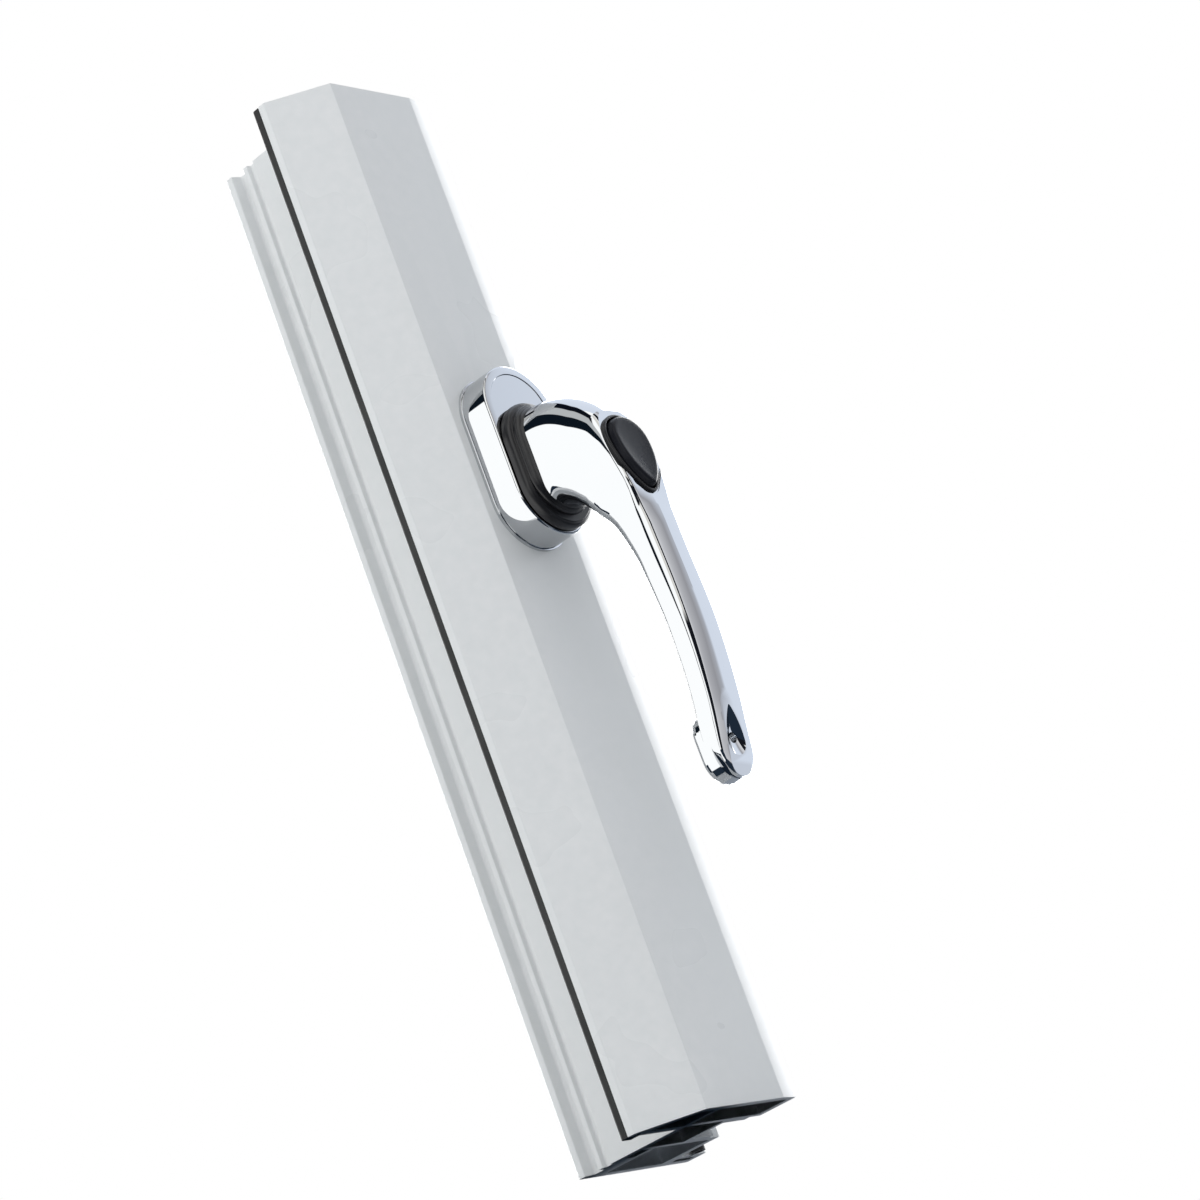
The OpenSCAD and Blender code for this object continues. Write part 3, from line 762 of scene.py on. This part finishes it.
# Crease line of the front and middle of the back, as (height over the room face, z): a start, and
# curves that each carry on from the last point
frontRail = [
    (16.6, 10.6),
    ((26.5, 10.3), (35.3, 3.6), (40, -3.5), 26),
    ((42.1, -8), (42.9, -18), (43.4, -27.5), 22),
    ((43.4, -31), (44.3, -36), (44.4, -42), 18),
    ((44.5, -50), (45.1, -60), (44.8, -70), 20),
    ((44.6, -79), (43.3, -90), (42.3, -97), 18),
    ((41.8, -100.5), (41.2, -104), (40.5, -107.5), 14),
    ((39.9, -111.2), (39.35, -114.5), (39.1, -116), 14),
    ((38.85, -117.5), (38.7, -118.2), (38.65, -118.4), 16),
]
backRail = [
    (16.6, -21.6),
    ((19.3, -21.8), (22.8, -24.2), (25.9, -28), 26),
    ((28.2, -30.8), (30.4, -34.6), (31.7, -38.6), 30),
    ((32.7, -41.7), (34.4, -46.8), (35.1, -51.6), 18),
    ((35.8, -56), (36.9, -65), (36.8, -73), 20),
    ((36.7, -81), (36.1, -90), (35.3, -97), 18),
    ((35, -100.2), (34.6, -103), (34.2, -107.5), 14),
    ((33.8, -111), (33, -114.5), (33, -116), 14),
    ((33, -117.5), (33.2, -118.2), (33.25, -118.4), 16),
]
# Values down the lever by the front's z
halfWidths = [(-96, 7.45), (-85, 7.65), (-70, 8.05), (-50, 8.15), (-36, 8.3), (-32, 8.5), (-28, 8.9),
              (-24, 9.4), (-19, 10.1), (-14.5, 10.5), (-8, 10.7), (10.6, 10.6)]
frontRadii = [(-113, 1.1), (-97, 1.7), (-80, 2.3), (-60, 2.8), (-42, 3), (-36, 2.6), (-27, 1.7),
              (-18, 2.2), (-12, 4), (-8, 6), (-3, 8), (3, 10), (10.6, 10.6)]
backRadii = [(-106, 0.4), (-97, 1.8), (-60, 2.6), (-42, 3.6), (-30, 4.6), (-10, 5), (0, 5.4), (7, 6),
             (10.6, 6.5)]
tilts = [(-36, 1), (-30, 0)]


def railPoints(start, *curves):
    points = [Vector(start)]
    for b, c, d, steps in curves:
        points += bezier(points[-1], b, c, d, steps)[1:]
    return points


def halfSection(width, thickness, frontRadius, backRadius, tilt, crown):
    # right half of a section as (x, height above the back), from the crease round to the back
    flat = max(width - frontRadius, 0.01)
    crown *= min(1, flat / 4) ** 2
    lean = math.radians(tilt) + 4 * crown / flat
    centreX = width - frontRadius
    edgeX = centreX + frontRadius * math.sin(lean)
    rise = math.tan(math.radians(tilt)) * edgeX
    centreY = thickness - rise - frontRadius * math.cos(lean)
    edgeY = thickness - rise
    points = []
    for k in range(8):
        s = k / 8
        points.append((edgeX * s, thickness + (edgeY - thickness) * s + 4 * crown * s * (1 - s)))
    points += arcPoints(centreX, centreY, frontRadius, 90 - math.degrees(lean), 0, 24)
    side = points[-1][1] - backRadius
    points += [(width, backRadius + side * (1 - k / 6)) for k in range(1, 6)]
    points += arcPoints(width - backRadius, backRadius, backRadius, 0, -90, 18)
    points += [((width - backRadius) * (1 - k / 4), 0) for k in range(1, 5)]
    return points


def leverRings():
    rings = []
    for front, back in zip(railPoints(*frontRail), railPoints(*backRail)):
        z = front.y
        width = ramp(z, halfWidths)
        corner = lever["endCorner"]
        past = min(1, max(0, (lever["end"] + corner - z) / corner))
        width -= corner * (1 - math.sqrt(1 - past * past))
        thickness = (front - back).length
        along = (front - back) / thickness
        frontRadius = min(ramp(z, frontRadii), width, thickness * 0.45)
        backRadius = min(ramp(z, backRadii), width, thickness * 0.4)
        share = ramp(z, tilts)
        half = halfSection(width, thickness, frontRadius, backRadius, lever["roofTilt"] * share,
                           lever["roofCrown"] * share)
        outline = half + [(-x, y) for x, y in half[-2:0:-1]]
        rings.append([(x, -(back.x + along.x * y), back.y + along.y * y) for x, y in outline])
    return rings


button = {
    "radius": 7.6,
    "tipRadius": 2.2,
    "drop": -14,  # from the round end's centre to the pointed end's
    "bulge": 21,  # radius of the two sides
    "ringWidth": 1.45,
    "ringProud": 1.05,
    "capProud": 2.8,
    "dish": 0.3,
    "faceInset": -1.1,  # from the cap's outline to its dished face
}


def buttonRing(height, grow):
    return eggRing(height, 0, button["radius"] + grow, button["drop"], max(0.15, button["tipRadius"] + grow),
                   bulge=button["bulge"] + grow)


bezelTilt = math.radians(lever["bezelTilt"])
bezelHeight = lever["bezelTop"] + (lever["bezelTopZ"] - buttonZ) * math.tan(bezelTilt)
# local z stands square on the bezel at the button's centre, local y runs up the bezel
buttonFrame = (stileFrame @ Matrix.Translation((0, -bezelHeight, buttonZ))
               @ Matrix.Rotation(math.radians(90) - bezelTilt, 4, "X"))


def endFrame(place):
    # local z leaves the front near the lever's end, local y runs up it
    lean = Matrix.Rotation(math.radians(90 + lever["endLean"]), 4, "X")
    return stileFrame @ Matrix.Translation(place) @ lean


def dishTool():
    # shallow teardrop bowl, sunk square to the front
    rings = []
    for share in (1.1, 1, 0.92, 0.8, 0.65, 0.48, 0.3, 0.12):
        depth = lever["dishDepth"] * (1 - share * share)
        rings.append([(x, -y, -depth) for x, y in
                      eggOutline(2.8 * share, 3.9 * share, -7.6 * share, 0.5 * share, 24, 24 * share)])
    return loft("dish", rings, endFrame(lever["dish"]))


def bossRing(inset, height):
    radius = lever["bossRadius"] - inset
    return eggRing(height, lever["bossTop"], radius, lever["bossLow"], radius, 40)


def buildLever():
    body = loft("lever_casting", leverRings(), sharp=6.5)
    profile = [(1.9, 0), (1.3, 0.1), (0.8, 0.4), (0.35, 0.9), (0.1, 1.5), (0, 2.2), (0.1, 5.4)]
    boss = loft("boss", [bossRing(inset, lever["bossBack"] + rise) for inset, rise in profile], outFrame)
    stub = rod(lever["stubRadius"], lever["stubStart"], lever["root"] + 2, outFrame)
    weld(body, stub, boss, sharp=6.5)
    # bezel: a flat round the button that runs out below it
    bezel = [eggRing(height, 6, 16 + grow, -13, 5 + grow, 40) for height, grow in ((0, 0), (4, 2.4), (9, 5))]
    seat = [buttonRing(height, button["ringWidth"] + 0.03) for height in (-5, 12)]
    below, half = (0, buttonZ), lever["socketHalf"]
    cut(body, loft("bezel", bezel, buttonFrame), loft("seat", seat, buttonFrame),
        rod(lever["springRadius"], bezelHeight - lever["springDepth"], bezelHeight, outFrame, below),
        rod(lever["plungerBore"], 1, bezelHeight, outFrame, below),
        block((-half, -lever["socketDepth"], -half), (half, 0, half)),
        rod(lever["grubBore"], 0, 20, lockFrame, (0, -lever["grubHeight"])),
        block((-20, -40, 0), (20, 20, 10), endFrame(lever["pad"])), dishTool(),
        rod(lever["holeRadius"], 25, 45, outFrame, (0, lever["holeZ"])), sharp=6.5)
    finishPiece(body, "handle", "polished_chrome", "lever")


buildLever()
print("lever built")


def buildButton():
    wide, proud = button["ringWidth"], button["ringProud"]
    profile = [(-4.95, wide), (-0.1, wide), (proud - 0.35, wide), (proud - 0.1, wide - 0.12),
               (proud, wide - 0.4), (proud - 0.02, 0.75), (proud - 0.2, 0.55), (-2.6, 0.55), (-2.6, -2),
               (-4.95, -2)]
    rings = [buttonRing(height, grow) for height, grow in profile]
    ring = loft("button_ring", rings, buttonFrame, closed=True)
    finishPiece(ring, "handle", "black_plastic", "button_housing")

    top, dish = button["capProud"], button["dish"]
    profile = [(-0.3, -0.3), (0, 0), (1.1, 0), (1.35, -0.08), (1.5, -0.2), (top - 0.6, -0.35),
               (top - 0.3, -0.5), (top - 0.1, -0.75), (top, button["faceInset"])]
    rings = [buttonRing(height, grow) for height, grow in profile]
    rim = Vector((0, button["drop"] * 0.42))
    for step in range(1, 9):
        share = 1 - step / 9
        height = top - dish * (1 - share * share)
        rings.append([(rim.x + (x - rim.x) * share, rim.y + (y - rim.y) * share, height)
                      for x, y, z in buttonRing(top, button["faceInset"])])
    cap = loft("push_button_cap", rings, buttonFrame, sharp=30)
    finishPiece(cap, "button", "gloss_button", "push_button")


buildButton()
print("button built")


hardware = {
    "plateHalf": 8,
    "plateBack": 19.05,
    "plateFace": 22,
    "slotHalf": 3.4,
    "rollerRadius": 5,
    "rollerStart": 22.6,
    "rollerLength": 7.9,
    "travel": 18,
    "pinBore": 2.06,
    "barFace": 14.6,  # inner face of the drive bar
    "barThickness": 2.4,
}
rollerHeights = [joints[name]["pos_m"][2] / millimetre - spindle.z / millimetre
                 for name in ("upper_roller_spin", "lower_roller_spin")]


def recess(depth, width, start, matrix):
    # cross recess of a screw, open along the frame's z
    arms = [[(x, y, start) for x, y in corners((-a, -b), (a, b))] for a, b in ((width, 0.45), (0.45, width))]
    return [loft("arm", [[(x * 0.55, y * 0.55, z - depth) for x, y, z in arm], arm,
                         [(x, y, z + 1) for x, y, z in arm]], matrix) for arm in arms]


def buildFaceplate():
    half, back, face = hardware["plateHalf"], hardware["plateBack"], hardware["plateFace"]
    middle = sash["grooveMiddle"]
    low, high = span("faceplate")
    outline = rounded([(z, y, half / 2) for z, y in corners((low.z, -half), (high.z, half))], 8)
    rings = [[(-z, middle + y * shrink, x) for z, y in outline]
             for x, shrink in ((back, 1), (face - 0.3, 1), (face, 0.965))]
    plate = loft("faceplate_strip", rings, lockFrame, sharp=20)
    seat = [(2.1, back - 1), (2.1, face - 1.4), (3.5, face - 0.1), (3.5, face + 1)]
    tools = [turned("seat", seat, lockFrame, centre=(-z, middle)) for z in faceplateHeights]
    wide = hardware["slotHalf"]
    for z in rollerHeights:
        slot = eggOutline(z + 1.5, wide, z - hardware["travel"] - 1.5, wide - 1e-4)
        tools.append(loft("slot", [[(-y, middle + x, h) for x, y in slot] for h in (back - 1, face + 1)],
                          lockFrame))
    cut(plate, *tools, sharp=20)
    finishPiece(plate, "sash", "zinc_steel", "faceplate")


def buildScrews():
    middle, face = sash["grooveMiddle"], hardware["plateFace"]
    profile = [(0.4, 10.5), (1.5, 12.5), (1.55, face - 1.6), (1.6, face - 1.4), (3.3, face - 0.05),
               (3.2, face + 0.25), (2.2, face + 0.5), (0.6, face + 0.58)]
    screw = turned("screw", profile, lockFrame, 40)
    cut(screw, *recess(1.6, 1.6, face + 0.6, lockFrame))
    places = [(0, middle, z) for z in faceplateHeights]
    piece = repeated("faceplate_screw_set", screw, places, "zinc_steel")
    finishPiece(piece, "sash", "zinc_steel", "faceplate_screws")

    profile = [(0.3, sashDepth - 8.5), (1.6, sashDepth - 6), (1.62, sashDepth - 0.9),
               (1.74, sashDepth - 0.5), (1.7, sashDepth - 0.05), (1.5, sashDepth)]
    screw = turned("screw", profile, backFrame, 40)
    places = [(sash["reinforcementX"], 0, z) for z in reinforcementHeights]
    piece = repeated("reinforcement_screw_set", screw, places, "zinc_steel")
    finishPiece(piece, "sash", "zinc_steel", "reinforcement_screws")


def buildRollers():
    start, length, radius = hardware["rollerStart"], hardware["rollerLength"], hardware["rollerRadius"]
    middle, bore = sash["grooveMiddle"], hardware["pinBore"]
    for name, z in zip(("upper", "lower"), rollerHeights):
        profile = [(bore, start), (radius - 0.4, start), (radius, start + 0.4), (radius, start + 2.6),
                   (radius - 0.12, start + 2.8), (radius - 0.12, start + 3.2), (radius, start + 3.4),
                   (radius, start + length - 0.5), (radius - 0.5, start + length), (bore, start + length)]
        roller = turned(name + "_roller_sleeve", profile, lockFrame, closed=True, centre=(-z, middle))
        finishPiece(roller, name + "_roller", "zinc_steel", "roller_" + name)
    inner, thick, face = hardware["barFace"], hardware["barThickness"], hardware["plateFace"]
    profile = [(2, inner), (2, inner + thick), (3.1, inner + thick + 0.01), (3.1, face + 0.5),
               (2, face + 0.51), (2, face + 8.55), (3.15, face + 8.6), (3.2, face + 8.9), (2.6, face + 9.4),
               (1, face + 9.5)]
    pin = turned("pin", profile, lockFrame)
    piece = repeated("roller_pin_set", pin, [(0, middle, z) for z in rollerHeights], "bright_steel")
    finishPiece(piece, "drive", "bright_steel", "roller_pins")


buildFaceplate()
buildScrews()
buildRollers()
print("lock hardware built")

for node in frame["nodes"].values():
    if not node.hide_render:
        node.data.set_sharp_from_angle(angle=math.radians(30))


def linear(*levels):
    return tuple((level / 255 / 12.92) if level < 11 else ((level / 255 + 0.055) / 1.055) ** 2.4
                 for level in levels)


chromeShare = 0.56  # of the light that polished chrome sends back


def inChrome(*levels):
    # the light that looks like these levels once chrome has mirrored it
    return (*[level / chromeShare for level in linear(*levels)], 1)


whiteRoom = inChrome(251, 251, 249)

# Cards round the object, as seen in polished chrome: azimuth from the room side towards the lock side
cards = [
    # name, azimuth, half width, elevation, half height, softness, colour
    ("rightWall", 112, 67, 40, 62, 1.2, (206, 213, 224)),
    ("backdrop", 128, 50, 20, 24, 5, (440, 440, 440)),
    ("greyFlag", 36.5, 9.5, 20, 50, 1.2, (198, 198, 200)),
    ("flagEdge", 45, 10, 20, 50, 10, (146, 146, 150)),
    ("darkLine", 17, 10, 20, 60, 1.5, (24, 26, 32)),
    ("beigeCard", -6, 14, 35, 35, 8, (206, 203, 196)),
    ("darkRoom", -2, 29, -20, 36, 3, (20, 22, 28)),
    ("behindCamera", -40, 20, -40, 30, 3, (60, 62, 68)),
]
# Bars overhead that run from the room to the outside, fanned by barLean degrees over the stile per
# unit of y: angle over the stile, and reach along y
barLean = 50
bars = [
    ("barLeft", -53, 19, 0.3, 0.75, 1.5, (12, 20, 28)),
    ("ceiling", -24, 13, 0.3, 0.75, 1.5, (176, 178, 178)),
    ("barRight", -4, 9, -0.02, 0.34, 1.5, (10, 14, 22)),
]


def cardGroup():
    # 1 inside a soft-edged box of two angles, 0 outside
    sizes = {"Across": 0, "Along": 0, "Middle": 0, "Half Width": 10, "Height": 0, "Half Height": 10,
             "Softness": 1, "Along Softness": 1}
    group, start, end = shaderGroup("lightCard", sizes, "Mask")
    calc = partial(mathNode, group)
    turn = calc("SUBTRACT", start.outputs["Across"], start.outputs["Middle"])
    turn = calc("ADD", turn, 540)
    turn = calc("MODULO", turn, 360)
    turn = calc("ABSOLUTE", calc("SUBTRACT", turn, 180))
    inside = calc("SUBTRACT", start.outputs["Half Width"], turn)
    inside = calc("DIVIDE", inside, start.outputs["Softness"], clamp=True)
    rise = calc("SUBTRACT", start.outputs["Along"], start.outputs["Height"])
    rise = calc("ABSOLUTE", rise)
    within = calc("SUBTRACT", start.outputs["Half Height"], rise)
    within = calc("DIVIDE", within, start.outputs["Along Softness"], clamp=True)
    group.links.new(calc("MULTIPLY", inside, within), end.inputs["Mask"])
    return group


def buildWorld():
    world = bpy.data.worlds.new("studio")
    scene.world = world
    world.use_nodes = True
    tree = world.node_tree
    tree.nodes.clear()
    place = tree.nodes.new("ShaderNodeTexCoord")
    split = tree.nodes.new("ShaderNodeSeparateXYZ")
    tree.links.new(place.outputs["Generated"], split.inputs[0])
    x, y, z = split.outputs
    calc = partial(mathNode, tree)
    degree = 180 / math.pi
    azimuth = calc("ARCTAN2", x, calc("MULTIPLY", y, -1))
    azimuth = calc("MULTIPLY", azimuth, degree)
    elevation = calc("MULTIPLY", calc("ARCSINE", z), degree)
    over = calc("MULTIPLY", calc("ARCTAN2", x, z), degree)
    lean = calc("MULTIPLY", calc("MINIMUM", y, 0.45), barLean)
    over = calc("SUBTRACT", over, lean)
    mask = cardGroup()
    colour = whiteRoom
    for across, along, alongSoft, rows in ((azimuth, elevation, 3, cards), (over, y, 0.05, bars)):
        for name, middle, half, height, reach, soft, tint in rows:
            card = placeGroup(tree, mask, {"Middle": middle, "Half Width": half, "Height": height,
                                           "Half Height": reach, "Softness": soft,
                                           "Along Softness": alongSoft})
            card.label = name
            tree.links.new(across, card.inputs["Across"])
            tree.links.new(along, card.inputs["Along"])
            colour = mixColour(tree, card.outputs["Mask"], colour, inChrome(*tint))
    path = tree.nodes.new("ShaderNodeLightPath")
    reflected = tree.nodes.new("ShaderNodeBackground")
    fill = tree.nodes.new("ShaderNodeBackground")
    paper = tree.nodes.new("ShaderNodeBackground")
    fill.inputs["Strength"].default_value = 0.55
    fill.inputs["Color"].default_value = (0.95, 0.98, 1.02, 1)
    paper.inputs["Color"].default_value = (1, 1, 1, 1)
    tree.links.new(colour, reflected.inputs["Color"])
    light = mixShader(tree, path.outputs["Is Glossy Ray"], fill.outputs[0], reflected.outputs[0])
    light = mixShader(tree, path.outputs["Is Camera Ray"], light, paper.outputs[0])
    tree.links.new(light, tree.nodes.new("ShaderNodeOutputWorld").inputs["Surface"])


def buildFloor():
    # pale from above and clear from below, where the camera stands
    mesh = bpy.data.meshes.new("floor")
    size, drop = 3, -0.0002
    mesh.from_pydata([(x, y, drop) for x, y in corners((-size, -size), (size, size))], [], [(0, 1, 2, 3)])
    floor = linkPiece("floor", mesh)
    material = bpy.data.materials.new("floor")
    material.use_nodes = True
    tree = material.node_tree
    shader = tree.nodes["Principled BSDF"]
    shader.inputs["Base Color"].default_value = (0.86, 0.86, 0.86, 1)
    shader.inputs["Roughness"].default_value = 0.9
    seen = tree.nodes.new("ShaderNodeEmission")
    # what chrome sees of it is a painted reflection that glows for glossy rays only: white out to the glass side,
    # dark to the front and left, grey elsewhere
    where = tree.nodes.new("ShaderNodeSeparateXYZ")
    x, y, z = where.outputs
    calc = partial(mathNode, tree)
    left = calc("MULTIPLY", x, -100, clamp=True)
    front = calc("MULTIPLY", calc("ADD", y, 0.12), -50, clamp=True)
    beyond = calc("MULTIPLY", calc("ADD", x, 0.11), -100, clamp=True)
    aside = calc("MULTIPLY", calc("ADD", x, y), -50, clamp=True)
    behind = calc("SUBTRACT", 1, front)
    white = calc("MULTIPLY", calc("MULTIPLY", beyond, aside), behind)
    tone = inChrome(128, 134, 142)
    for mask, tint in ((calc("MAXIMUM", left, front), inChrome(30, 40, 52)), (white, whiteRoom)):
        tone = mixColour(tree, mask, tone, tint)
    clear = tree.nodes.new("ShaderNodeBsdfTransparent")
    side = tree.nodes.new("ShaderNodeNewGeometry")
    path = tree.nodes.new("ShaderNodeLightPath")
    tree.links.new(side.outputs["Position"], where.inputs[0])
    tree.links.new(tone, seen.inputs["Color"])
    # glossy rays see the glowing painted reflection tones in place of the lit floor
    surface = mixShader(tree, path.outputs["Is Glossy Ray"], shader.outputs[0], seen.outputs[0])
    surface = mixShader(tree, side.outputs["Backfacing"], surface, clear.outputs[0])
    tree.links.new(surface, tree.nodes["Material Output"].inputs["Surface"])
    mesh.materials.append(material)


def softLight(name, place, target, size, power, tint):
    light = bpy.data.lights.new(name, "AREA")
    light.shape = "DISK"
    light.size = size
    light.energy = power
    light.color = tint
    lamp = bpy.data.objects.new(name, light)
    lamp.location = place
    lamp.rotation_mode = "QUATERNION"
    lamp.rotation_quaternion = (Vector(target) - Vector(place)).to_track_quat("-Z", "Y")
    lamp.visible_glossy = False
    lamp.visible_camera = False
    scene.collection.objects.link(lamp)


view = {
    "azimuth": -53.495,
    "elevation": -17.746,
    "roll": -20.575,
    "distance": 1.02884,
    "aim": (17.42, 0.02, -43.8),  # millimetres from the spindle
    "lens": 105,
}


def buildCamera():
    camera = bpy.data.cameras.new("camera")
    camera.lens = view["lens"]
    camera.sensor_width = 36
    camera.clip_start = 0.01
    eye = bpy.data.objects.new("camera", camera)
    azimuth, elevation = math.radians(view["azimuth"]), math.radians(view["elevation"])
    back = Vector((math.sin(azimuth) * math.cos(elevation), -math.cos(azimuth) * math.cos(elevation),
                   math.sin(elevation)))
    eye.location = stileFrame @ Vector(view["aim"]) + back * view["distance"]
    eye.rotation_mode = "QUATERNION"
    eye.rotation_quaternion = back.to_track_quat("Z", "Y") @ Quaternion((0, 0, 1), math.radians(view["roll"]))
    scene.collection.objects.link(eye)
    scene.camera = eye


buildWorld()
buildFloor()
softLight("roomLight", (-0.3, -0.8, 0.95), (0, 0, 0.3), 1.3, 1.8, (0.97, 0.98, 1))
softLight("glassLight", (-0.8, 0.3, 0.9), (0, 0, 0.3), 0.8, 3.2, (0.98, 1, 0.98))
buildCamera()
print("stage, light and camera set")
